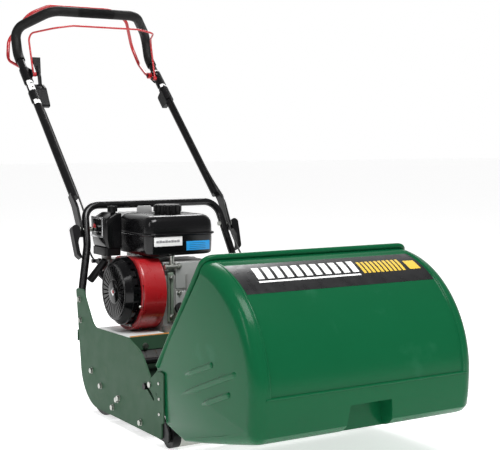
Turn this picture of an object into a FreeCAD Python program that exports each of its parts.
"""Powered reel mower with a front grass catcher, in millimetres.

+X is the operator's left (chain side), -Y is forward (catcher), +Y is the operator, +Z is up.
The ground is z = 0.  The layout is measured from a line 51.1 mm ahead of the middle of the overall
length, and every sub-part is moved back by LAYOUT_Y as it is written to parts/NODE.step, so that the
origin is on the ground under the middle of the machine.
"""
import FreeCAD, Part
import math
import os

V = FreeCAD.Vector
X_AXIS = V(1, 0, 0)
Y_AXIS = V(0, 1, 0)
Z_AXIS = V(0, 0, 1)

LAYOUT_Y = 51.1                     # from the layout line to the middle of the overall length

# ---- chassis -------------------------------------------------------------------------------
PLATE_T = 4.0                       # side plate thickness
RIGHT_OUT = -280.0                  # outer face of the right side plate
LEFT_OUT = 262.0                    # outer face of the left side plate
RIGHT_IN = RIGHT_OUT + PLATE_T
LEFT_IN = LEFT_OUT - PLATE_T
DECK_TOP = 212.0
DECK_T = 4.0
DECK_FRONT, DECK_REAR = 0.0, 197.0
FIT = 0.3                           # gap between pieces that move past each other
BORE_GAP = 0.05                     # radial clearance of a running fit

# ---- rotating parts: (Y, Z) of each axis ---------------------------------------------------
DRUM_AXIS = (61.0, 97.0)
DRUM_R = 97.0
REEL_AXIS = (-140.0, 92.0)
REEL_R = 62.0
REEL_HALF_LENGTH = 254.0            # a 508 mm cut
REEL_BLADES = 6
REEL_TWIST = 75.0                   # degrees from end to end
LAY_AXIS = (-52.0, 176.0)
ROLLER_AXIS = (-326.0, 28.0)
ROLLER_R = 28.0
ARM_PIVOT = (-206.0, 38.0)
ARM_STUD_R = 100.0                  # radius of the height quadrant slot
ARM_STUD_ANGLE = 106.0              # degrees from +Y, at rest
SLOT_ANGLES = (101.0, 133.0)
CUT_MID = (LEFT_IN + RIGHT_IN) / 2  # middle of the cutting width

# ---- drive ---------------------------------------------------------------------------------
BELT_X = 92.0                       # middle plane of the belt
BELT_W = 12.0
ENGINE_PULLEY_R = 20.0              # where the belt runs
LAY_PULLEY_R = 28.0
REEL_CHAIN_X = 271.0
DRUM_CHAIN_X = 285.0
CHAIN_W = 6.0
REEL_SPROCKET_R = 26.0
LAY_REEL_SPROCKET_R = 30.0
LAY_DRUM_SPROCKET_R = 18.0
DRUM_SPROCKET_R = 60.0
CHAIN_COVER_OUT = 298.0

# ---- engine --------------------------------------------------------------------------------
CRANK = (110.0, 322.0)
BLOWER_R = 108.0
BLOWER_TOP = 413.0                  # flattened under the fuel tank
BLOWER_X = (-168.0, -98.0)
RECOIL_X = (-205.0, -168.3)
RECOIL_FACE_R = 78.0
RECOIL_BASE_R = 92.0
TANK_X = (-143.0, 66.0)
TANK_Y = (24.0, 229.0)
TANK_Z = (419.0, 531.0)
TANK_SEAM_Z = 479.0
TANK_SEAM_OUT = 5.0                 # how far the rolled seam stands out all round
CAP_AT = (-40.0, 108.0)
CAP_R = 37.0
CLEANER_X = (-204.0, -150.0)
CLEANER_Y = (165.0, 262.0)
CLEANER_Z = (414.0, 532.0)
CLEANER_STUD = (-170.0, 190.0)

# ---- handle --------------------------------------------------------------------------------
TUBE_R = 12.0                       # upper loop
LEG_R = 10.8                        # lower U-bar
TUBE_WALL = 1.6
LEG_X = 214.0                       # upper ends of the U-bar legs
TONGUE_X = (236.2, 244.0)           # flattened ends of the upper loop, just outside the legs
HORN_X = (-265.0, 247.0)            # lower ends of the legs, inside the two horns
FOLD = (250.0, 484.0)               # axis of the handle fold
GRIP_R = 15.5

# ---- catcher -------------------------------------------------------------------------------
CATCHER_HALF = 300.0
CATCHER_REAR_HALF = 287.0
CATCHER_T = 3.0
DOME_CENTRE = (-500.0, 202.0)       # the front is a quarter circle about this axis
DOME_R = 272.0
LIP_ANGLE = 97.4                    # where the circle meets the mouth
HANGER_PIN = (-262.0, 144.0)        # axis of the pins that the catcher hangs on
HANGER_PIN_R = 3.5
HANGER_COLLAR_R = 5.0               # clears the height arms as they swing past
RECESS_HALF = 56.0                  # finger recess in the lower front


# ---- small helpers -------------------------------------------------------------------------
def box(x, y, z):
    """Box from three (low, high) pairs."""
    return Part.makeBox(x[1] - x[0], y[1] - y[0], z[1] - z[0], V(x[0], y[0], z[0]))


def cyl_x(x, at, r):
    """Cylinder along X between x[0] and x[1] about the (Y, Z) point."""
    return Part.makeCylinder(r, x[1] - x[0], V(x[0], at[0], at[1]), X_AXIS)


def ring_x(x, at, r_out, r_in):
    return cyl_x(x, at, r_out).cut(cyl_x((x[0] - 1, x[1] + 1), at, r_in))


def cyl_z(at, z, r):
    """Cylinder along Z about the (X, Y) point."""
    return Part.makeCylinder(r, z[1] - z[0], V(at[0], at[1], z[0]), Z_AXIS)


def cyl_y(at, y, r):
    """Cylinder along Y about the (X, Z) point."""
    return Part.makeCylinder(r, y[1] - y[0], V(at[0], y[0], at[1]), Y_AXIS)


def rod(p, q, r):
    """Round bar from point p to point q."""
    step = q.sub(p)
    return Part.makeCylinder(r, step.Length, p, step)


def bent_edges(points, radii, closed=False):
    """Straight runs joined by tangent arcs; radii has one value per corner."""
    count = len(points)
    corners = range(count) if closed else range(1, count - 1)
    trims = {}
    for i in corners:
        p, a, b = points[i], points[i - 1], points[(i + 1) % count]
        into = p.sub(a).normalize()
        out = b.sub(p).normalize()
        turn = into.getAngle(out)
        r = radii[i] if closed else radii[i - 1]
        if r <= 0 or turn < 1e-4:
            continue
        length = r * math.tan(turn / 2)
        start = p.sub(V(into).multiply(length))
        end = p.add(V(out).multiply(length))
        inward = V(out).sub(into).normalize()
        reach = r / math.cos(turn / 2) - r
        trims[i] = (start, p.add(inward.multiply(reach)), end)
    edges = []
    last = count if closed else count - 1
    for i in range(last):
        j = (i + 1) % count
        start = trims[i][2] if i in trims else points[i]
        end = trims[j][0] if j in trims else points[j]
        if start.sub(end).Length > 1e-6:
            edges.append(Part.LineSegment(start, end).toShape())
        if j in trims:
            edges.append(Part.Arc(*trims[j]).toShape())
    return edges


def profile_x(outline, radii, x):
    """Solid of a rounded (Y, Z) outline between two X planes."""
    if not isinstance(radii, (list, tuple)):
        radii = [radii] * len(outline)
    points = [V(x[0], y, z) for y, z in outline]
    face = Part.Face(Part.Wire(bent_edges(points, radii, closed=True)))
    return face.extrude(V(x[1] - x[0], 0, 0))


def sweep(points, radii, r_out, r_in=0.0):
    """Round bar or tube along straight runs and arcs."""
    wire = Part.Wire(bent_edges(points, radii))
    start = points[0]
    heading = points[1].sub(points[0])

    def solid(r):
        ring = Part.Wire(Part.makeCircle(r, start, heading))
        return wire.makePipeShell([ring], True, True)

    bar = solid(r_out)
    return bar.cut(solid(r_in)) if r_in > 0 else bar


def mirror_x(points):
    """The points, then their mirror images in reverse order."""
    return points + [V(-p.x, p.y, p.z) for p in reversed(points)]


def turned(shape, at, angle, axis=X_AXIS):
    copy = shape.copy()
    copy.rotate(at, axis, angle)
    return copy


def on_circle(centre, radius, degrees):
    a = math.radians(degrees)
    return (centre[0] + radius * math.cos(a), centre[1] + radius * math.sin(a))


def fuse(shapes):
    return shapes[0].multiFuse(shapes[1:]).removeSplitter()


def hex_bolt(at, direction, size=8.0, grip=6.0):
    """Bolt with a hexagon head and washer; `at` is the centre of the washer's seat."""
    head_r = size * 0.92
    head_h = size * 0.65
    corners = [V(head_r * math.cos(math.radians(60 * k)), head_r * math.sin(math.radians(60 * k)), 1.5)
               for k in range(7)]
    head = Part.Face(Part.makePolygon(corners)).extrude(V(0, 0, head_h))
    crown = Part.makeCone(head_r * 1.35, head_r * 0.8, head_h + 1.6, V(0, 0, 1.5))
    washer = Part.makeCylinder(size, 1.5)
    shank = Part.makeCylinder(size / 2, grip, V(0, 0, -grip))
    bolt = fuse([head.common(crown), washer, shank])
    bolt.Placement = FreeCAD.Placement(at, FreeCAD.Rotation(Z_AXIS, direction))
    return bolt


def loop_band(a, ra, b, rb, thickness, x):
    """Closed belt or chain round two wheels with (Y, Z) centres a and b."""
    def hull(grow):
        dy, dz = b[0] - a[0], b[1] - a[1]
        distance = math.hypot(dy, dz)
        base = math.degrees(math.atan2(dz, dy))
        lean = math.degrees(math.acos((ra - rb) / distance))
        a1, a2 = (on_circle(a, ra + grow, base + s * lean) for s in (1, -1))
        b1, b2 = (on_circle(b, rb + grow, base + s * lean) for s in (1, -1))
        far_a = on_circle(a, ra + grow, base + 180)
        far_b = on_circle(b, rb + grow, base)
        p = [V(x[0], *q) for q in (a1, far_a, a2, b2, far_b, b1)]
        edges = [Part.Arc(p[0], p[1], p[2]).toShape(), Part.LineSegment(p[2], p[3]).toShape(),
                 Part.Arc(p[3], p[4], p[5]).toShape(), Part.LineSegment(p[5], p[0]).toShape()]
        return Part.Face(Part.Wire(edges)).extrude(V(x[1] - x[0], 0, 0))
    return hull(thickness).cut(hull(0))


def sprocket(at, r, x, bore):
    """Toothed disc that fits inside a chain of inner radius r."""
    teeth = max(10, int(2 * math.pi * r / 12.7))
    disc = cyl_x(x, at, r - FIT)
    notch_r = 2.6
    notches = [cyl_x((x[0] - 1, x[1] + 1), on_circle(at, r, 360.0 * k / teeth), notch_r)
               for k in range(teeth)]
    return disc.cut(notches[0].multiFuse(notches[1:])).cut(cyl_x((x[0] - 1, x[1] + 1), at, bore))


def pulley(at, r, x_mid, width, bore):
    """Grooved pulley; the belt runs at radius r between its cheeks."""
    half = width / 2
    core = cyl_x((x_mid - half - FIT, x_mid + half + FIT), at, r - FIT)
    cheeks = [cyl_x((x_mid - half - 4, x_mid - half - FIT), at, r + 8),
              cyl_x((x_mid + half + FIT, x_mid + half + 4), at, r + 8)]
    hub = cyl_x((x_mid - half - 12, x_mid + half + 4), at, bore + 7)
    whole = fuse([core] + cheeks + [hub])
    return whole.cut(cyl_x((x_mid - 60, x_mid + 60), at, bore))


# ---- chassis -------------------------------------------------------------------------------
DRUM_BOLTS = [(90.0, 116.0), (32.0, 85.0)]
BED_BOLTS = [(-79.0, 74.0), (-69.0, 68.0), (-43.0, 43.0)]
HORN_BOLTS = [(168.0, 300.0), (163.0, 243.0)]
BOLT_HOLE_R = 4.2
DECK_BOLT_X = (-165.0, 170.0)

PLATE_OUTLINE = [(152, 20), (194, 328), (147, 330), (76, 236), (-135, 239), (-210, 214), (-268, 149),
                 (-300, 118), (-317, 96), (-317, 20)]
PLATE_RADII = [112, 8, 8, 45, 30, 60, 2, 10, 6, 10]


def side_plate(x, shaft_holes):
    plate = profile_x(PLATE_OUTLINE, PLATE_RADII, x)
    wide = (x[0] - 1, x[1] + 1)
    holes = [cyl_x(wide, at, BOLT_HOLE_R) for at in DRUM_BOLTS + BED_BOLTS + HORN_BOLTS + [ARM_PIVOT]]
    holes += [cyl_x(wide, at, r) for at, r in shaft_holes + [(HANGER_PIN, HANGER_PIN_R + BORE_GAP)]]
    slot_at = [on_circle(ARM_PIVOT, ARM_STUD_R, a) for a in SLOT_ANGLES]
    holes += [ring_x(wide, ARM_PIVOT, ARM_STUD_R + 4.3, ARM_STUD_R - 4.3).common(slot_wedge(wide))]
    holes += [cyl_x(wide, at, 4.3) for at in slot_at]
    return plate.cut(holes[0].multiFuse(holes[1:]))


def slot_wedge(x):
    """Sector of the height quadrant between its two end angles."""
    far = [on_circle(ARM_PIVOT, 2 * ARM_STUD_R, a) for a in SLOT_ANGLES]
    corners = [V(x[0], *p) for p in (ARM_PIVOT, far[0], far[1], ARM_PIVOT)]
    return Part.Face(Part.makePolygon(corners)).extrude(V(x[1] - x[0], 0, 0))


def engine_deck():
    x = (RIGHT_IN, LEFT_IN)
    top = box(x, (DECK_FRONT, DECK_REAR), (DECK_TOP - DECK_T, DECK_TOP))
    front = box(x, (DECK_FRONT, DECK_FRONT + DECK_T), (DECK_TOP - 36, DECK_TOP))
    rear = box(x, (DECK_REAR - DECK_T, DECK_REAR), (DECK_TOP - 30, DECK_TOP))
    tabs = [box((x[0], x[0] + DECK_T), (DECK_FRONT, 40), (DECK_TOP - 20, DECK_TOP + 6)),
            box((x[1] - DECK_T, x[1]), (DECK_FRONT, 40), (DECK_TOP - 20, DECK_TOP + 6))]
    deck = fuse([top, front, rear] + tabs)
    slot = box((BELT_X - 16, BELT_X + 16), (-10, 62), (DECK_TOP - 60, DECK_TOP + 10))
    feet = [cyl_z((fx, fy), (DECK_TOP - 10, DECK_TOP + 10), 4.4) for fx in (-78, 40) for fy in (62, 158)]
    feet += [cyl_y((x_bolt, DECK_TOP - 25), (-5, 10), BOLT_HOLE_R) for x_bolt in DECK_BOLT_X]
    return deck.cut(slot).cut(feet[0].multiFuse(feet[1:]))


def tie_rods():
    spots = [((-196, 188), 8), ((177, 198), 8)]
    return [cyl_x((RIGHT_IN, LEFT_IN), at, r) for at, r in spots]


def grass_deflector():
    """Curved sheet above the reel that throws the grass forward, on two end tabs."""
    x = (RIGHT_IN + 7, LEFT_IN - 7)
    shell = ring_x(x, REEL_AXIS, REEL_R + 20, REEL_R + 18)
    keep = profile_x([(-260, 96), (-140, 92), (-80, 100), (-80, 220), (-260, 220)], 0, x)
    chute = box(x, (-262, -220), (103, 105))
    tabs = [box(tab, (-170, -110), (168, 175)) for tab in ((RIGHT_IN, x[0] + 1), (x[1] - 1, LEFT_IN))]
    return fuse([shell.common(keep).cut(chute), chute] + tabs)


def bed_bar():
    bar = profile_x([(-112, 24), (-62, 24), (-40, 36), (-40, 48), (-70, 34), (-112, 28)], 0,
                    (RIGHT_IN + 8, LEFT_IN - 8))
    ends = []
    for x in ((RIGHT_IN, RIGHT_IN + 8), (LEFT_IN - 8, LEFT_IN)):
        end = profile_x([(-96, 24), (-34, 24), (-30, 52), (-66, 86), (-94, 80)], [3, 3, 6, 6, 6], x)
        wide = (x[0] - 1, x[1] + 1)
        holes = [cyl_x(wide, at, BOLT_HOLE_R) for at in BED_BOLTS]
        ends.append(end.cut(holes[0].multiFuse(holes[1:])))
    return fuse([bar] + ends)


def bottom_blade():
    """Fixed blade whose lip the reel blades just clear."""
    x = (CUT_MID - REEL_HALF_LENGTH - 3, CUT_MID + REEL_HALF_LENGTH + 3)
    return profile_x([(-134, 25.5), (-72, 20), (-72, 23.8), (-112, 23.8), (-134, 28.8)], 0, x)


def bearing_housings():
    """Flanged housings: two for the drum, two for the reel, two for the layshaft."""
    housings = []

    def housing(x_plate, side, at, shaft_r, flange_r, boss):
        flange = (x_plate, x_plate + side * 6)
        body = (x_plate, x_plate + side * boss)
        parts = [cyl_x(sorted(flange), at, flange_r), cyl_x(sorted(body), at, shaft_r + 9)]
        bore = cyl_x((x_plate - 40, x_plate + 40), at, shaft_r + BORE_GAP)
        housings.append(fuse(parts).cut(bore))

    housing(RIGHT_IN, 1, DRUM_AXIS, 10, 24, 12)
    housing(LEFT_IN, -1, DRUM_AXIS, 10, 24, 12)
    housing(RIGHT_IN, 1, REEL_AXIS, 9, 26, 9)
    housing(LEFT_IN, -1, REEL_AXIS, 9, 26, 9)
    housing(LEFT_IN, -1, LAY_AXIS, 9, 22, 14)
    hanger = profile_x([(-6, DECK_TOP - 6), (-6, 184), (LAY_AXIS[0] + 10, 156), (LAY_AXIS[0] - 14, 160),
                        (LAY_AXIS[0] - 14, 192), (-20, DECK_TOP - 6)], [2, 6, 14, 10, 10, 2], (40, 46))
    foot = box((40, 66), (-6, -0.05), (184, DECK_TOP - 6))
    boss = cyl_x((40, 60), LAY_AXIS, 18)
    bore = cyl_x((30, 80), LAY_AXIS, 9 + BORE_GAP)
    housings.append(fuse([hanger, foot, boss]).cut(bore))
    return housings


def chain_cover():
    """Stamped case over both chains, outside the left plate."""
    outline = [(-215, 62), (-205, 152), (-95, 222), (-10, 222), (150, 165), (158, 60), (80, 24), (-160, 24)]
    radii = [30, 40, 40, 40, 60, 50, 60, 50]
    outer = profile_x(outline, radii, (LEFT_OUT, CHAIN_COVER_OUT))
    front_edges = [e for e in outer.Edges if abs(e.BoundBox.XMin - CHAIN_COVER_OUT) < 0.01]
    outer = outer.makeFillet(6, front_edges)
    inset = [(-212.5, 63), (-202.5, 150.5), (-94, 219.5), (-10.5, 219.5), (147.5, 163), (155.5, 61),
             (79, 26.5), (-159, 26.5)]
    inner = profile_x(inset, [28, 38, 38, 38, 58, 48, 58, 48], (LEFT_OUT - 1, CHAIN_COVER_OUT - 2.5))
    ear_spots = [(-206, 108), (140, 96)]
    cover = outer.cut(inner)
    posts = [cyl_x((LEFT_OUT, CHAIN_COVER_OUT - 1), at, 7) for at in ear_spots]
    return fuse([cover] + [p.common(outer) for p in posts])


def hex_bolts():
    """All the fasteners of the chassis, one group of separate bolts."""
    bolts = []
    for at in DRUM_BOLTS + BED_BOLTS + HORN_BOLTS + [ARM_PIVOT]:
        bolts.append(hex_bolt(V(RIGHT_OUT, *at), V(-1, 0, 0)))
    for at in HORN_BOLTS:
        bolts.append(hex_bolt(V(LEFT_OUT, *at), V(1, 0, 0)))
    for x in DECK_BOLT_X:
        bolts.append(hex_bolt(V(x, DECK_FRONT, DECK_TOP - 25), V(0, -1, 0), grip=4))
    for x in (-78.0, 40.0):
        for y in (62.0, 158.0):
            bolts.append(hex_bolt(V(x, y, DECK_TOP + 10.1), V(0, 0, 1), grip=22))
    return bolts


# ---- drum, reel, roller, layshaft ----------------------------------------------------------
def drum_halves():
    """Two hollow halves with end webs and hubs, side by side on one axle."""
    halves = []
    gap = 4.0
    for x in ((RIGHT_IN + 14, CUT_MID - gap / 2), (CUT_MID + gap / 2, LEFT_IN - 14)):
        shell = ring_x(x, DRUM_AXIS, DRUM_R, DRUM_R - 3)
        ends = [ring_x((x[0], x[0] + 3), DRUM_AXIS, DRUM_R - 2, 10),
                ring_x((x[1] - 3, x[1]), DRUM_AXIS, DRUM_R - 2, 10)]
        grooves = []
        for k in range(7):
            gx = x[0] + (x[1] - x[0]) * (k + 1) / 8
            grooves.append(ring_x((gx - 1.5, gx + 1.5), DRUM_AXIS, DRUM_R + 1, DRUM_R - 1.2))
        halves.append(fuse([shell] + ends).cut(grooves[0].multiFuse(grooves[1:])))
    return halves


def reel_blades():
    """Helical strips, lofted through turned sections."""
    blades = []
    stations = 9
    thick, depth = 3.5, 20.0
    for b in range(REEL_BLADES):
        wires = []
        for s in range(stations):
            t = s / (stations - 1)
            x = CUT_MID - REEL_HALF_LENGTH + 2 * REEL_HALF_LENGTH * t
            a = math.radians(360.0 * b / REEL_BLADES + REEL_TWIST * t)
            out = V(0, math.cos(a), math.sin(a))
            side = V(0, -math.sin(a), math.cos(a))
            centre = V(x, REEL_AXIS[0], REEL_AXIS[1])
            corners = []
            for r, w in ((REEL_R, -1), (REEL_R, 1), (REEL_R - depth, 1), (REEL_R - depth, -1)):
                corners.append(centre + V(out).multiply(r) + V(side).multiply(w * thick / 2))
            wires.append(Part.makePolygon(corners + corners[:1]))
        blades.append(Part.makeLoft(wires, True, False))
    return blades


def reel_spiders():
    """Discs that carry the blades on the shaft."""
    discs = []
    count = 5
    for k in range(count):
        x = CUT_MID + (REEL_HALF_LENGTH - 8) * (2.0 * k / (count - 1) - 1)
        disc = cyl_x((x - 2, x + 2), REEL_AXIS, REEL_R - 20.5)
        windows = [cyl_x((x - 5, x + 5), on_circle(REEL_AXIS, 27, 60.0 * j + 30), 8) for j in range(6)]
        bore = cyl_x((x - 5, x + 5), REEL_AXIS, 9)
        discs.append(disc.cut(windows[0].multiFuse(windows[1:])).cut(bore))
    return discs


def roller_arms():
    """Two height arms, the roller axle and the clamp studs with their nuts, as one weldment."""
    parts = []
    stud = on_circle(ARM_PIVOT, ARM_STUD_R, ARM_STUD_ANGLE)
    for inner, outward in ((RIGHT_IN, -1), (LEFT_IN, 1)):
        x = sorted((inner - outward * FIT, inner - outward * (FIT + 5)))
        arm = profile_x([(-345, 14), (-345, 46), (stud[0] - 12, stud[1] + 12), (stud[0] + 12, stud[1] + 10),
                         (-190, 26), (-214, 22)], [12, 14, 10, 10, 12, 10], x)
        arm = arm.cut(cyl_x((x[0] - 1, x[1] + 1), ARM_PIVOT, BOLT_HOLE_R + 3.0))
        outer_face = inner + outward * PLATE_T
        ends = sorted((inner - outward * (FIT + 5), outer_face + outward * 1.0))
        parts += [arm, cyl_x(ends, stud, 3.9)]
        cap = sorted((outer_face + outward * FIT, outer_face + outward * 6))
        parts.append(cyl_x(cap, stud, 8))
    axle = cyl_x((RIGHT_IN + FIT, LEFT_IN - FIT), ROLLER_AXIS, 7)
    return fuse(parts + [axle])


def roller_tube():
    x = (RIGHT_IN + 30, LEFT_IN - 30)
    return ring_x(x, ROLLER_AXIS, ROLLER_R, ROLLER_R - 3)


def roller_end_caps():
    caps = []
    for x, lip in (((RIGHT_IN + 9, RIGHT_IN + 30), 1), ((LEFT_IN - 30, LEFT_IN - 9), -1)):
        plug_x = (x[1], x[1] + 12) if lip > 0 else (x[0] - 12, x[0])
        cap = fuse([cyl_x(x, ROLLER_AXIS, ROLLER_R), cyl_x(plug_x, ROLLER_AXIS, ROLLER_R - 3)])
        caps.append(cap.cut(cyl_x((x[0] - 20, x[1] + 20), ROLLER_AXIS, 7 + BORE_GAP)))
    return caps


# ---- engine --------------------------------------------------------------------------------
def crankcase():
    body = profile_x([(28, 226), (192, 226), (205, 330), (190, 398), (120, 404), (28, 372)],
                     [6, 6, 20, 20, 20, 26], (-96, 52))
    base = box((-96, 52), (40, 180), (DECK_TOP, 232))
    side_cover = cyl_x((50, 66), (105, 318), 62)
    ribs = [box((-80 + 26 * k, -76 + 26 * k), (20, 60), (240, 368)) for k in (0, 2, 3, 4)]
    filler = Part.makeCylinder(15, 26, V(-52, 38, 262), V(0, -1, 0.55))
    lugs = [box((x, x + 24), (20, 44), (DECK_TOP, 230)) for x in (-90, 22)]
    case = fuse([body, base, side_cover, filler] + ribs + lugs)
    case = case.cut(cyl_x((-120, 80), CRANK, 12.5 + BORE_GAP))
    hollow = cyl_x((-80, 40), CRANK, 48)
    foot_holes = [cyl_z((x, y), (DECK_TOP - 5, DECK_TOP + 10), 4.4) for x in (-78, 40) for y in (62, 158)]
    pockets = [box((x - 14, x + 14), (y - 14, y + 14), (DECK_TOP + 10, 232))
               for x, y in ((-78, 62), (40, 62), (-78, 158), (40, 158))]
    case = case.cut(hollow).cut(foot_holes[0].multiFuse(foot_holes[1:]))
    return case.cut(pockets[0].multiFuse(pockets[1:]))


def cylinder_head():
    """Finned barrel and head leaning up towards the operator, with its rocker cover."""
    barrel = box((-72, 22), (196, 312), (0, 78))
    fins = [box((-86, 36), (204 + 12 * k, 209 + 12 * k), (-8, 84)) for k in range(8)]
    cover = box((-66, 16), (312, 334), (6, 72))
    head = fuse([barrel, cover] + fins)
    head.translate(V(0, 0, 318))
    lean = turned(head, V(0, 196, 318), 12)
    return lean.cut(box((-100, 60), (150, 206), (260, 420)))


def blower_housing():
    """Pressed fan shroud round the flywheel, carried back over the barrel."""
    drum = cyl_x(BLOWER_X, CRANK, BLOWER_R)
    rim = [e for e in drum.Edges if abs(e.BoundBox.XMax - BLOWER_X[0]) < 0.01 and e.BoundBox.XLength < 0.1]
    drum = drum.makeFillet(9, rim)
    above = box((-200, 0), (-50, 300), (BLOWER_TOP, 500))
    above_in = box((-200, 0), (-50, 300), (BLOWER_TOP - 2, 500))
    hollow = cyl_x((BLOWER_X[0] + 2, BLOWER_X[1] + 1), CRANK, BLOWER_R - 2)
    mouth = cyl_x((BLOWER_X[0] - 2, BLOWER_X[0] + 4), CRANK, 84)
    duct = profile_x([(110, 410), (196, 410), (190, 250), (150, 250)], [4, 20, 10, 4], (-150, BLOWER_X[1]))
    duct_in = profile_x([(110, 408), (194, 408), (188, 252), (150, 252)], [4, 18, 8, 4],
                        (-148, BLOWER_X[1] + 1))
    return fuse([drum.cut(above), duct]).cut(hollow.cut(above_in)).cut(mouth).cut(duct_in)


ROPE_DIR = V(-0.30, 0.80, 0.52).normalize()
ROPE_START = V(-192, 188, 350)


def recoil_cover():
    """Domed starter cover with radial face slots and vents round its side."""
    x_face, x_base = RECOIL_X
    base = cyl_x((x_base - 20, x_base), CRANK, RECOIL_BASE_R)
    cone = Part.makeCone(RECOIL_FACE_R, RECOIL_BASE_R - 2, x_base - 20 - x_face, V(x_face, *CRANK), X_AXIS)
    dome = fuse([base, cone])
    hollow = fuse([cyl_x((x_base - 20, x_base + 1), CRANK, RECOIL_BASE_R - 2.5),
                   Part.makeCone(RECOIL_FACE_R - 3, RECOIL_BASE_R - 4.5, x_base - 22 - x_face,
                                 V(x_face + 3, *CRANK), X_AXIS)])
    cover = dome.cut(hollow)
    cuts = []
    face_slots = 30
    for k in range(face_slots):
        slot = box((x_face - 2, x_face + 4), (CRANK[0] + 34, CRANK[0] + 68), (CRANK[1] - 1.8, CRANK[1] + 1.8))
        cuts.append(turned(slot, V(0, *CRANK), 360.0 * k / face_slots))
    side_slots = 24
    beside_rope = (3, 4, 5)
    slot_x = (x_base - 16, x_base - 5)
    slot_reach = (CRANK[0] + 80, CRANK[0] + 110)
    for k in range(side_slots):
        if k in beside_rope:
            continue
        slot = box(slot_x, slot_reach, (CRANK[1] - 3.5, CRANK[1] + 3.5))
        cuts.append(turned(slot, V(0, *CRANK), 360.0 * k / side_slots))
    cover = cover.cut(cuts[0].multiFuse(cuts[1:]))
    horn = Part.makeCylinder(11, 20, ROPE_START, ROPE_DIR)
    bore = Part.makeCylinder(4, 60, ROPE_START - V(ROPE_DIR).multiply(30), ROPE_DIR)
    flange = ring_x((x_base - 3, x_base), CRANK, RECOIL_BASE_R + 4, RECOIL_BASE_R - 6)
    return fuse([cover, horn, flange]).cut(bore)


GRIP_LEAN = V(0.655, -0.404, 1.0)   # the bar rises forwards and inwards
GRIP_HALF = 38.0                    # half the length of the bar


def recoil_grip():
    """T-grip with the first length of its rope."""
    seat = ROPE_START + V(ROPE_DIR).multiply(26)
    centre = seat + V(ROPE_DIR).multiply(12)
    along = V(GRIP_LEAN) - V(ROPE_DIR).multiply(GRIP_LEAN.dot(ROPE_DIR))
    along = along.normalize()
    bar = rod(centre - V(along).multiply(GRIP_HALF), centre + V(along).multiply(GRIP_HALF), 11)
    ends = [e for e in bar.Edges if e.Curve.TypeId == "Part::GeomCircle"]
    bar = bar.makeFillet(5, ends)
    neck = rod(seat - V(ROPE_DIR).multiply(5), centre, 7)
    rope = rod(ROPE_START - V(ROPE_DIR).multiply(14), seat, 2.5)
    return fuse([bar, neck, rope])


def fuel_tank():
    """Two pressed halves with a seam flange, hollow, with a filler neck."""
    def halves(grow):
        x = (TANK_X[0] - grow, TANK_X[1] + grow)
        y = (TANK_Y[0] - grow, TANK_Y[1] + grow)
        upper = box(x, y, (TANK_SEAM_Z - 20, TANK_Z[1] + grow))
        top_edges = [e for e in upper.Edges if e.BoundBox.ZMin > TANK_Z[1] + grow - 0.1]
        posts = [e for e in upper.Edges if e.BoundBox.ZLength > 30]
        upper = upper.makeFillet(26 + grow, posts + top_edges)
        lower = box(x, y, (TANK_Z[0] - grow, TANK_SEAM_Z - 10))
        low_posts = [e for e in lower.Edges if e.BoundBox.ZLength > 30]
        lower = lower.makeFillet(24 + grow, low_posts)
        low_edges = [e for e in lower.Edges if e.BoundBox.ZMax < TANK_Z[0] - grow + 0.1]
        lower = lower.makeFillet(8 + grow / 2, low_edges)
        return fuse([upper, lower])

    seam_x = (TANK_X[0] - TANK_SEAM_OUT, TANK_X[1] + TANK_SEAM_OUT)
    seam_y = (TANK_Y[0] - TANK_SEAM_OUT, TANK_Y[1] + TANK_SEAM_OUT)
    seam = box(seam_x, seam_y, (TANK_SEAM_Z - 2, TANK_SEAM_Z + 2))
    seam = seam.makeFillet(30, [e for e in seam.Edges if e.BoundBox.ZLength > 3])
    neck = cyl_z(CAP_AT, (TANK_Z[1] - 6, TANK_Z[1] + 9), 24)
    tank = fuse([halves(0), seam, neck])
    bore = cyl_z(CAP_AT, (TANK_Z[1] - 12, TANK_Z[1] + 12), 21)
    feet = [box((x, x + 18), (60, 150), (404, TANK_Z[0] + 2)) for x in (-92, 20)]
    return fuse([tank] + feet).cut(halves(-2.5)).cut(bore)


def fuel_cap():
    z = (TANK_Z[1] + 0.4, TANK_Z[1] + 25)
    body = cyl_z(CAP_AT, z, CAP_R)
    top = [e for e in body.Edges if e.BoundBox.ZMin > z[1] - 0.1]
    body = body.makeFillet(4, top)
    flutes = []
    for k in range(14):
        a = 2 * math.pi * k / 14
        flutes.append(cyl_z((CAP_AT[0] + (CAP_R + 2) * math.cos(a), CAP_AT[1] + (CAP_R + 2) * math.sin(a)),
                            (z[0] - 1, z[1] + 1), 5))
    neck_room = cyl_z(CAP_AT, (z[0] - 1, TANK_Z[1] + 9.5), 24.4)
    plug = cyl_z(CAP_AT, (TANK_Z[1] - 4, TANK_Z[1] + 12), 20.9)
    return fuse([body.cut(flutes[0].multiFuse(flutes[1:])).cut(neck_room), plug])


CARB_BORE = (245.0, 372.0)


def carburettor():
    body = box((-168, -120), (221, 269), (344, 400))
    throat = cyl_x((-182, -104), CARB_BORE, 17)
    bowl = cyl_z((-146, CARB_BORE[0]), (322, 346), 20)
    elbow = cyl_z((-166, CARB_BORE[0] - 3), (396, CLEANER_Z[0]), 14)
    solid = fuse([body.makeFillet(4, body.Edges), throat, bowl, elbow])
    return solid.cut(cyl_x((-190, -90), CARB_BORE, 12))


def air_cleaner_base():
    x, y, z = CLEANER_X, CLEANER_Y, CLEANER_Z
    tray = box((x[0] + 3, x[1] - 3), (y[0] + 3, y[1] - 3), (z[0], z[0] + 22))
    tray = tray.makeFillet(8, [e for e in tray.Edges if e.BoundBox.ZLength > 20])
    stud = cyl_z(CLEANER_STUD, (z[0] + 20, z[1] + 14), 3)
    return fuse([tray, stud])


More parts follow.
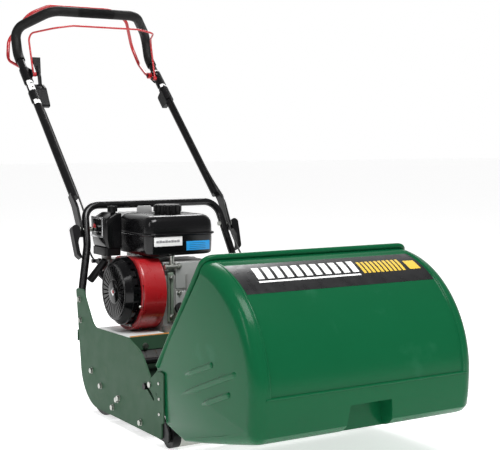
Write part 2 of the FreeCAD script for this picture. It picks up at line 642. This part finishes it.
def air_cleaner_cover():
    x, y, z = CLEANER_X, CLEANER_Y, CLEANER_Z
    outer = box(x, y, (z[0] + 22.3, z[1]))
    outer = outer.makeFillet(12, [e for e in outer.Edges if e.BoundBox.ZLength > 20])
    outer = outer.makeFillet(9, [e for e in outer.Edges if e.BoundBox.ZMin > z[1] - 0.1])
    inner = box((x[0] + 3, x[1] - 3), (y[0] + 3, y[1] - 3), (z[0] + 21, z[1] - 3))
    inner = inner.makeFillet(9, [e for e in inner.Edges if e.BoundBox.ZLength > 20])
    hole = cyl_z(CLEANER_STUD, (z[1] - 5, z[1] + 1), 3.1)
    label_rim = box((x[0] - 1, x[0] + 1), (y[0] + 14, y[1] - 14), (z[0] + 40, z[1] - 14))
    return fuse([outer.cut(inner).cut(hole), label_rim])


def air_cleaner_knob():
    at = CLEANER_STUD
    z = CLEANER_Z[1]
    boss = cyl_z(at, (z + FIT, z + 16), 9)
    wings = [box((at[0] - 14, at[0] + 14), (at[1] - 3, at[1] + 3), (z + 3, z + 19)),
             box((at[0] - 3, at[0] + 3), (at[1] - 14, at[1] + 14), (z + 3, z + 19))]
    return fuse([boss] + wings).cut(cyl_z(at, (z - 1, z + 14.2), 3 + BORE_GAP))


def muffler():
    can = box((-82, 62), (246, 338), (436, 518))
    can = can.makeFillet(16, [e for e in can.Edges if e.BoundBox.XLength > 100])
    outlet = cyl_x((60, 84), (300, 470), 12).cut(cyl_x((40, 90), (300, 470), 10))
    neck = cyl_z((-20, 282), (400, 440), 14).cut(cylinder_head())
    neck = max(neck.Solids, key=lambda part: part.BoundBox.ZMax)
    return fuse([can, outlet, neck])


def muffler_guard():
    outer = box((-86, 66), (242, 342), (428, 526))
    outer = outer.makeFillet(18, [e for e in outer.Edges if e.BoundBox.XLength > 100])
    inner = box((-84.5, 64.5), (243.5, 343.5), (420, 524.5))
    inner = inner.makeFillet(16, [e for e in inner.Edges if e.BoundBox.XLength > 100])
    outlet = cyl_x((60, 70), (300, 470), 22)
    guard = outer.cut(inner).cut(outlet)
    slots = [box((-70 + 18 * k, -62 + 18 * k), (262, 322), (520, 530)) for k in range(8)]
    return guard.cut(slots[0].multiFuse(slots[1:]))


def spark_plug():
    """Plug, insulator and cap at the end of the head, with the lead's first stretch."""
    root = V(-25, 338, 392)
    axis = V(0, 0.98, 0.2).normalize()
    hexagon = rod(root, root + V(axis).multiply(10), 10)
    insulator = rod(root, root + V(axis).multiply(30), 5)
    cap = rod(root + V(axis).multiply(18), root + V(axis).multiply(38), 9)
    return fuse([hexagon, insulator, cap])


def crankshaft():
    shaft = cyl_x((-190, BELT_X + 12), CRANK, 12.5)
    webs = [cyl_x((x, x + 14), CRANK, 40) for x in (-60, 0)]
    return fuse([shaft] + webs)


def flywheel():
    disc = cyl_x((-140, -122), CRANK, 78)
    fins = []
    for k in range(16):
        fin = box((-158, -139), (CRANK[0] + 44, CRANK[0] + 76), (CRANK[1] - 1.5, CRANK[1] + 1.5))
        fins.append(turned(fin, V(0, *CRANK), 360.0 * k / 16))
    return fuse([disc] + fins).cut(cyl_x((-200, 0), CRANK, 12.5))


def oil_plug():
    root = V(-52, 38, 262)
    axis = V(0, -1, 0.55).normalize()
    seat = root + V(axis).multiply(26.3)
    head = rod(seat, seat + V(axis).multiply(9), 16)
    wing = rod(seat, seat + V(axis).multiply(16), 8)
    return fuse([head, wing])


CHOKE_PIVOT = V(-186, 245, 394)


def choke_lever():
    """Short lever under the air cleaner, turning about X."""
    hub = cyl_x((-190, -183), (CHOKE_PIVOT.y, CHOKE_PIVOT.z), 7)
    blade = profile_x([(245, 388), (282, 386), (282, 394), (245, 400)], [0, 4, 4, 0], (-189, -186))
    knob = cyl_x((-194, -183), (279, 390), 6)
    return fuse([hub, blade, knob])


# ---- clutch lever and cables ---------------------------------------------------------------
CLUTCH_PIVOT = (24.0, 232.0)
CLUTCH_X = (236.0, 242.0)


def clutch_arm():
    """Lever on the left plate that the drive cable pulls."""
    arm = profile_x([(16, 226), (34, 226), (26, 262), (20, 262)], [6, 6, 2, 2], CLUTCH_X)
    hub = cyl_x((CLUTCH_X[0] - 2, LEFT_IN - FIT), CLUTCH_PIVOT, 9)
    return fuse([arm, hub])


def cable(points):
    """Outer casing along hand-set points; each arc is as large as its runs allow."""
    radii = []
    for i in range(1, len(points) - 1):
        into, out = points[i].sub(points[i - 1]), points[i + 1].sub(points[i])
        turn = into.getAngle(out)
        radii.append(0.45 * min(into.Length, out.Length) / math.tan(turn / 2))
    print("cable radii", [round(r) for r in radii])
    return sweep(points, radii, CABLE_R)


CABLE_R = 2.75
CABLE_BREAK = 2.0                   # gap between the two lengths of each cable at the fold
THROTTLE_LOW = [V(-216.8, 332.4, 588.3), V(-206, 293, 518), V(-198, 302, 450), V(-192, 306, 420),
                V(-182, 304, 396), V(-171, 292, 380), V(-160, 272, 375)]
CLUTCH_LOW = [V(229, 264, 566), V(226, 236, 508), V(230, 216, 462), V(236, 190, 418), V(243, 158, 376),
              V(245, 124, 338), V(242, 92, 305), V(239, 62, 281), V(239, 41, 266)]


# ---- handle --------------------------------------------------------------------------------
def lower_handle():
    """U-bar: crossbar, two legs, and ends set outwards into the horns."""
    def leg(sign, horn_x):
        return [V(horn_x, 165, 226), V(horn_x, 188, 318), V(sign * 228, 234, 440), V(sign * LEG_X, 281, 549)]
    points = leg(-1, HORN_X[0]) + list(reversed(leg(1, HORN_X[1])))
    bar = sweep(points, [60, 80, 46, 46, 80, 60], LEG_R, LEG_R - TUBE_WALL)
    holes = [cyl_x((-290, 290), at, BOLT_HOLE_R) for at in HORN_BOLTS]
    pivot = cyl_x((-290, 290), FOLD, FOLD_BOLT_R + BORE_GAP)
    return bar.cut(holes[0].multiFuse(holes[1:] + [pivot]))


FOLD_BOLT_R = 4.0
SIDE_KINK = V(-232, 288, 545)
SIDE_BEND = V(-230, 761, 1006)
SIDE_TOP = V(-230, 784, 1086)
BAR_CORNER = V(-146, 680, 1138)
SIDE_DIR = SIDE_BEND.sub(SIDE_KINK).normalize()
SIDE_START = SIDE_KINK + V(SIDE_DIR).multiply(34)
LOOP = mirror_x([SIDE_START, SIDE_BEND, SIDE_TOP, BAR_CORNER])
LOOP_RADII = [70, 40, 60]
TONGUE = [(243, 460), (258, 464), (305, 545), (330, 571), (316, 585), (272, 550), (238, 484)]
TONGUE_RADII = [8, 12, 60, 4, 4, 60, 14]


def upper_handle():
    """Loop of tube whose two lower ends are flattened into tongues for the fold bolts."""
    loop = sweep(LOOP, LOOP_RADII + LOOP_RADII[::-1], TUBE_R, TUBE_R - TUBE_WALL)
    tongues = [profile_x(TONGUE, TONGUE_RADII, sorted((sign * TONGUE_X[0], sign * TONGUE_X[1])))
               for sign in (-1, 1)]
    plugs = [side_run(34, 44, sign, TUBE_R) for sign in (-1, 1)]
    return fuse([loop] + tongues + plugs).cut(cyl_x((-290, 290), FOLD, FOLD_BOLT_R + BORE_GAP))


def foam_grips():
    """Two sleeves over the corners of the loop."""
    grips = []
    for sign in (-1, 1):
        bend, top, corner = (V(sign * -p.x, p.y, p.z) for p in LOOP[1:4])
        low = bend - V(SIDE_DIR.x * -sign, SIDE_DIR.y, SIDE_DIR.z).multiply(34)
        inner = V(sign * -62, corner.y, corner.z)
        route = [low, bend, top, corner, inner]
        sleeve = sweep(route, LOOP_RADII, GRIP_R)
        grips.append(sleeve.cut(sweep(route, LOOP_RADII, TUBE_R)))
    return grips


def along_side(distance, sign=-1):
    """Point on a side tube's centre line, this far above its kink."""
    p = SIDE_KINK + V(SIDE_DIR).multiply(distance)
    return V(-sign * p.x, p.y, p.z)


def side_run(low, high, sign, r):
    """Cylinder round a side tube between two distances along it."""
    return rod(along_side(low, sign), along_side(high, sign), r)


FRONT_PIVOT = (676.0, 938.0)
REAR_PIVOT = (712.0, 948.0)
PIN_R = 3.0
BRACKET_IN = 216.0                  # inner face of the bracket plates, each side of the middle


def bail_brackets():
    """Clamps on the side tubes that carry the bail pivots."""
    brackets = []
    for sign in (-1, 1):
        wall = sorted((sign * BRACKET_IN, sign * (BRACKET_IN + 3.0)))
        plate = profile_x([(664, 930), (690, 922), (722, 938), (724, 960), (700, 960), (672, 952)],
                          [8, 6, 8, 8, 6, 8], wall)
        saddle = side_run(525, 585, sign, TUBE_R + 3)
        body = fuse([plate, saddle]).cut(side_run(400, 640, sign, TUBE_R + 0.02))
        pins = [cyl_x(sorted((sign * (BRACKET_IN + 1), sign * 202)), at, PIN_R)
                for at in (FRONT_PIVOT, REAR_PIVOT)]
        heads = [cyl_x(sorted((sign * 202, sign * 200)), at, 5.5) for at in (FRONT_PIVOT, REAR_PIVOT)]
        brackets.append(fuse([body] + pins + heads))
    return brackets


def bail(side, radii, r, pivot, eye_r):
    """U-shaped rod with an eye at each foot; `side` lists the points of its right half."""
    rail = sweep(mirror_x(side), radii + radii[::-1], r)
    eyes = [cyl_x(sorted((s * 203, s * 214.5)), pivot, eye_r) for s in (-1, 1)]
    return fuse([rail] + eyes).cut(cyl_x((-230, 230), pivot, PIN_R + BORE_GAP))


def front_bail():
    """Thin rod bail, in front of and below the top bar."""
    side = [V(-211, *FRONT_PIVOT), V(-213, 712, 1066), V(-168, 598, 1077), V(-110, 596, 1086)]
    return bail(side, [22, 40, 60], 3.0, FRONT_PIVOT, 7)


def rear_bail():
    """Wider bail that swings behind the loop."""
    side = [V(-208, *REAR_PIVOT), V(-211, 744, 956), V(-234, 842, 992), V(-220, 871, 1057),
            V(-172, 812, 1139), V(-108, 803, 1167)]
    return bail(side, [60, 50, 30, 60, 50], 5.5, REAR_PIVOT, 10)


THROTTLE_PIVOT = (660.0, 897.0)


def throttle_box():
    """Throttle control clamped inside the right tube, and the cable box on the left tube."""
    case = profile_x([(604, 838), (622, 832), (668, 868), (680, 900), (660, 908), (636, 894)],
                     [6, 8, 14, 10, 8, 20], (-217, -184))
    slot = profile_x([(640, 886), (695, 880), (695, 960), (620, 960)], 0, (-198, -190))
    strap = side_run(440, 480, -1, TUBE_R + 2.5)
    right = fuse([case.cut(slot), strap]).cut(side_run(300, 640, -1, TUBE_R + 0.02))
    pin = cyl_x((-200, -188), THROTTLE_PIVOT, 2.5)
    case_left = profile_x([(598, 855), (628, 837), (664, 873), (640, 899)], 6, (214, 228))
    strap_left = side_run(455, 510, 1, TUBE_R + 3.5)
    left = fuse([case_left, strap_left]).cut(side_run(300, 640, 1, TUBE_R + 0.02))
    return [fuse([right, pin]), left]


def throttle_lever():
    """Stem on the pin with a paddle for the thumb that widens upwards."""
    stem = profile_x([(653, 890), (668, 892), (678, 930), (690, 962), (680, 966), (660, 930)],
                     [6, 6, 8, 2, 2, 8], (-197, -191))
    corners = [V(-199, 0, 0), V(-187, 0, 0), V(-178, 0, 58), V(-206, 0, 58), V(-199, 0, 0)]
    paddle = Part.Face(Part.makePolygon(corners)).extrude(V(0, 6, 0))
    paddle = turned(paddle, V(), -28)
    paddle.translate(V(0, 674, 942))
    return fuse([stem, paddle]).cut(cyl_x((-220, -170), THROTTLE_PIVOT, 2.5 + BORE_GAP))


def cables_upper():
    """Casings clipped along the side tubes, ending just above the fold."""
    gap = TUBE_R + CABLE_R + 0.3
    inward = V(gap, 0, 0)
    above = V(0, -SIDE_DIR.z, SIDE_DIR.y).multiply(gap)
    throttle = [V(-207, 612, 835), along_side(400) + inward, THROTTLE_LOW[0]]
    clutch = [along_side(452, 1) + above, along_side(100, 1) + above, CLUTCH_LOW[0]]
    boxes = throttle_box()
    routes = []
    for route in (throttle, clutch):
        back = route[-2].sub(route[-1]).normalize()
        end = route[-1] + back.multiply(CABLE_BREAK)
        routes.append(cable(route[:-1] + [end]).cut(boxes[0]).cut(boxes[1]))
    return routes


LEVER_X = (TONGUE_X[1] + 2.0, TONGUE_X[1] + 26.0)
LEVER_PIN = ((LEVER_X[0] + LEVER_X[1]) / 2, 0.0)     # (distance from the middle, height above FOLD)
LEVER_WIDTH = 22.0
LEVER_LEAN = -19.5                  # the levers hang along the legs
LEVER_OUTLINE = [(LEVER_X[0], 12), (LEVER_X[1], 12), (268, -38), (266, -74), (254, -86), (252, -79),
                 (256, -67), (257, -38), (251, -24), (LEVER_X[0], -20)]
LEVER_RADII = [11.5, 11.5, 40, 6, 2, 2, 8, 20, 6, 2]


def leaned(shape):
    """From the lever's upright frame, centred on the fold axis, to its place beside the leg."""
    placed = turned(shape, V(), LEVER_LEAN)
    placed.translate(V(0, *FOLD))
    return placed


def pin_y(sign, r, half):
    """Cylinder along Y about the lever's cross pin."""
    return cyl_y((sign * LEVER_PIN[0], LEVER_PIN[1]), (-half, half), r)


def cam_lever(sign):
    """Cranked quick-release lever with a forked hub and its cross pin."""
    half = LEVER_WIDTH / 2
    points = [V(sign * x, -half, z) for x, z in LEVER_OUTLINE]
    face = Part.Face(Part.Wire(bent_edges(points, LEVER_RADII, closed=True)))
    body = face.extrude(V(0, LEVER_WIDTH, 0))
    fork = box(sorted((sign * 240, sign * (LEVER_PIN[0] + 6.5))), (-4.4, 4.4), (-6.5, 30))
    return leaned(fuse([body.cut(fork), pin_y(sign, 3.0, half)]))


def cam_bolts():
    """Fold bolts through leg and tongue, with a nut, a washer and an eye on the lever's cross pin."""
    bolts = []
    for sign in (-1, 1):
        shaft = cyl_x(sorted((sign * 206, sign * (LEVER_PIN[0] - 5))), (0, 0), FOLD_BOLT_R)
        nut = cyl_x(sorted((sign * 205.6, sign * 210.8)), (0, 0), 7)
        washer = cyl_x(sorted((sign * (TONGUE_X[1] + 0.2), sign * (LEVER_X[0] - FIT))), (0, 0), 11)
        eye = pin_y(sign, 6.2, 4.0)
        bolts.append(leaned(fuse([shaft, nut, washer, eye]).cut(pin_y(sign, 3.0 + BORE_GAP, 5))))
    return bolts


# ---- catcher -------------------------------------------------------------------------------
def catcher_solid(inset):
    """Closed outer form of the catcher, shrunk by `inset`; the inner form runs out past the mouth."""
    cy, cz = DOME_CENTRE
    r = DOME_R - inset
    past = 60 if inset else 0
    lip = V(0, *on_circle(DOME_CENTRE, r, LIP_ANGLE))
    front = V(0, cy - r, cz)
    mid = V(0, *on_circle(DOME_CENTRE, r, 140))
    chin = V(0, cy - r + 4, 142 + inset / 2)
    chin_mid = V(0, -756 + 0.8 * inset, 112 + 0.8 * inset)
    chin_in = V(0, -722 + inset, 101 + inset)
    keel = V(0, -452, 48 + inset)
    heel = V(0, -352 + past, 66 + inset)
    waist = V(0, -330 + past, 150)
    hip = V(0, -306 + past, 192)
    edges = [Part.Arc(lip, mid, front).toShape(), Part.LineSegment(front, chin).toShape(),
             Part.Arc(chin, chin_mid, chin_in).toShape()]
    path = [chin_in, keel, heel, waist, hip, V(0, lip.y + past, lip.z), lip]
    edges += [Part.LineSegment(a, b).toShape() for a, b in zip(path, path[1:]) if a != b]
    face = Part.Face(Part.Wire(edges))
    half = CATCHER_HALF - inset
    face.translate(V(-half, 0, 0))
    return face.extrude(V(2 * half, 0, 0)).cut(taper_wedges(inset))


def taper_wedges(inset):
    """Blocks that narrow the catcher towards its open rear."""
    wedges = []
    for sign in (-1, 1):
        near = sign * (CATCHER_REAR_HALF - inset)
        far = sign * (CATCHER_HALF - inset)
        slope = (near - far) / 330.0
        corners = [V(far, -640, 0), V(near + slope * 0.35 * 330, -195, 0), V(sign * 420, -195, 0),
                   V(sign * 420, -640, 0), V(far, -640, 0)]
        wedges.append(Part.Face(Part.makePolygon(corners)).extrude(V(0, 0, 700)))
    return wedges[0].fuse(wedges[1])


def catcher_shell():
    """Open-backed scoop with a finger recess and a rolled bead round its mouth."""
    outer = catcher_solid(0)
    recess = box((-RECESS_HALF, RECESS_HALF), (-790, -724), (60, 168))
    inner = catcher_solid(CATCHER_T)
    wall = box((-RECESS_HALF - CATCHER_T, RECESS_HALF + CATCHER_T), (-790, -724 + CATCHER_T),
               (60, 168 + CATCHER_T))
    shell = outer.cut(recess).cut(inner.cut(wall))
    half = CATCHER_REAR_HALF - 4
    rim_path = mirror_x([V(-half, -310, 198), V(-half, -533, 479)])
    rim = sweep(rim_path, [26, 26], 6.5)
    return fuse([shell, rim])


HANGER = [(-252, 140), (-256, 154), (-274, 164), (-306, 188), (-350, 188), (-350, 66), (-322, 66),
          (-300, 100), (-284, 116), (-276, 128), (-264, 134)]
HANGER_RADII = [3, 6, 10, 6, 8, 8, 8, 20, 6, 6, 4]
HANGER_T = 3.0
HANGER_STEP_Y = -319.0              # where each hanger steps from the catcher in to the side plate
HANGER_RIVETS = [(-328, 160), (-298, 127), (-330, 123), (-330, 86)]


def catcher_brackets():
    """Stepped hangers: riveted to the catcher's sides, lying against the side plates behind."""
    brackets = []
    for sign, face in ((-1, RIGHT_OUT), (1, LEFT_OUT)):
        near = face + sign * 0.4
        far = sign * (CATCHER_REAR_HALF + 1.65)   # clear of the side's taper
        rear = profile_x(HANGER, HANGER_RADII, sorted((near, near + sign * HANGER_T)))
        front = profile_x(HANGER, HANGER_RADII, sorted((far, far + sign * HANGER_T)))
        everywhere = (-400, 400)
        rear = rear.common(box(everywhere, (HANGER_STEP_Y, 0), (0, 300)))
        front = front.common(box(everywhere, (-400, HANGER_STEP_Y + HANGER_T), (0, 300)))
        step_x = sorted((near, far + sign * HANGER_T))
        step = box(step_x, (HANGER_STEP_Y, HANGER_STEP_Y + HANGER_T), (76, 160))
        parts = [rear, front, step]
        for at in HANGER_RIVETS:
            seat = far if at[0] < HANGER_STEP_Y else near
            parts.append(cyl_x(sorted((seat + sign * HANGER_T, seat + sign * (HANGER_T + 1.6))), at, 3.2))
        brackets.append(fuse(parts).cut(cyl_x(everywhere, HANGER_PIN, HANGER_PIN_R + BORE_GAP)))
    return brackets


def hanger_pins():
    """Headed pins in the side plates; the hangers turn on them outside."""
    pins = []
    for inner, outer, sign in ((RIGHT_IN, RIGHT_OUT, -1), (LEFT_IN, LEFT_OUT, 1)):
        tip = outer + sign * (HANGER_T + 1.0)
        shank = cyl_x(sorted((inner - sign * 2, tip + sign * 2.5)), HANGER_PIN, HANGER_PIN_R)
        head = cyl_x(sorted((tip, tip + sign * 2.5)), HANGER_PIN, HANGER_PIN_R + 3.5)
        collar = cyl_x(sorted((inner - sign * 3, inner - sign * 0.1)), HANGER_PIN, HANGER_COLLAR_R)
        pins.append(fuse([shank, head, collar]))
    return pins


# ---- write every node ----------------------------------------------------------------------
def build():
    left_shafts = [(DRUM_AXIS, 10.6), (REEL_AXIS, 9.6), (LAY_AXIS, 9.6), (CLUTCH_PIVOT, 4.0)]
    nodes = {
        "side_plate_right": side_plate((RIGHT_OUT, RIGHT_IN), []),
        "side_plate_left": side_plate((LEFT_IN, LEFT_OUT), left_shafts),
        "engine_deck": engine_deck(),
        "tie_rods": tie_rods(),
        "grass_deflector": grass_deflector(),
        "bed_bar": bed_bar(),
        "bottom_blade": bottom_blade(),
        "chassis_bolts": hex_bolts() + cam_bolts() + hanger_pins(),
        "bearing_housings": bearing_housings(),
        "chain_cover": chain_cover(),
        "drive_belt": loop_band(CRANK, ENGINE_PULLEY_R, LAY_AXIS, LAY_PULLEY_R, 7,
                                (BELT_X - BELT_W / 2, BELT_X + BELT_W / 2)),
        "reel_chain": loop_band(LAY_AXIS, LAY_REEL_SPROCKET_R, REEL_AXIS, REEL_SPROCKET_R, 5,
                                (REEL_CHAIN_X - CHAIN_W / 2, REEL_CHAIN_X + CHAIN_W / 2)),
        "drum_chain": loop_band(DRUM_AXIS, DRUM_SPROCKET_R, LAY_AXIS, LAY_DRUM_SPROCKET_R, 5,
                                (DRUM_CHAIN_X - CHAIN_W / 2, DRUM_CHAIN_X + CHAIN_W / 2)),
        "engine_pulley": pulley(CRANK, ENGINE_PULLEY_R, BELT_X, BELT_W, 12.5),
        "layshaft": cyl_x((36, DRUM_CHAIN_X + 5), LAY_AXIS, 9),
        "layshaft_pulley": pulley(LAY_AXIS, LAY_PULLEY_R, BELT_X, BELT_W, 9),
        "layshaft_sprockets": [
            sprocket(LAY_AXIS, LAY_REEL_SPROCKET_R, (REEL_CHAIN_X - 2, REEL_CHAIN_X + 2), 9),
            sprocket(LAY_AXIS, LAY_DRUM_SPROCKET_R, (DRUM_CHAIN_X - 2, DRUM_CHAIN_X + 2), 9)],
        "drum_halves": drum_halves(),
        "drum_axle": cyl_x((RIGHT_IN + 0.5, DRUM_CHAIN_X + 5), DRUM_AXIS, 10),
        "drum_sprocket": sprocket(DRUM_AXIS, DRUM_SPROCKET_R, (DRUM_CHAIN_X - 2, DRUM_CHAIN_X + 2), 10),
        "reel_shaft": cyl_x((RIGHT_IN + 0.5, REEL_CHAIN_X + 5), REEL_AXIS, 9),
        "reel_blades": reel_blades(),
        "reel_spiders": reel_spiders(),
        "reel_sprocket": sprocket(REEL_AXIS, REEL_SPROCKET_R, (REEL_CHAIN_X - 2, REEL_CHAIN_X + 2), 9),
        "roller_arms": roller_arms(),
        "front_roller": roller_tube(),
        "roller_end_caps": roller_end_caps(),
        "crankcase": crankcase(),
        "cylinder_head": cylinder_head(),
        "blower_housing": blower_housing(),
        "recoil_cover": recoil_cover(),
        "recoil_grip": recoil_grip(),
        "fuel_tank": fuel_tank(),
        "fuel_cap": fuel_cap(),
        "carburettor": carburettor(),
        "air_cleaner_base": air_cleaner_base(),
        "air_cleaner_cover": air_cleaner_cover(),
        "air_cleaner_knob": air_cleaner_knob(),
        "muffler": muffler(),
        "muffler_guard": muffler_guard(),
        "spark_plug": spark_plug(),
        "crankshaft": crankshaft(),
        "flywheel": flywheel(),
        "oil_plug": oil_plug(),
        "choke_lever": choke_lever(),
        "clutch_arm": clutch_arm(),
        "control_cables_lower": [cable(THROTTLE_LOW), cable(CLUTCH_LOW)],
        "lower_handle": lower_handle(),
        "upper_handle": upper_handle(),
        "foam_grips": foam_grips(),
        "bail_brackets": bail_brackets(),
        "front_bail": front_bail(),
        "rear_bail": rear_bail(),
        "throttle_box": throttle_box(),
        "throttle_lever": throttle_lever(),
        "control_cables_upper": cables_upper(),
        "cam_lever_right": cam_lever(-1),
        "cam_lever_left": cam_lever(1),
        "catcher_shell": catcher_shell(),
        "catcher_brackets": catcher_brackets(),
    }
    return nodes


def main():
    os.makedirs("parts", exist_ok=True)
    for name, shape in build().items():
        if isinstance(shape, list):
            shape = Part.makeCompound(shape)
        shape.translate(V(0, -LAYOUT_Y, 0))
        shape.exportStep(os.path.join("parts", name + ".step"))


main()
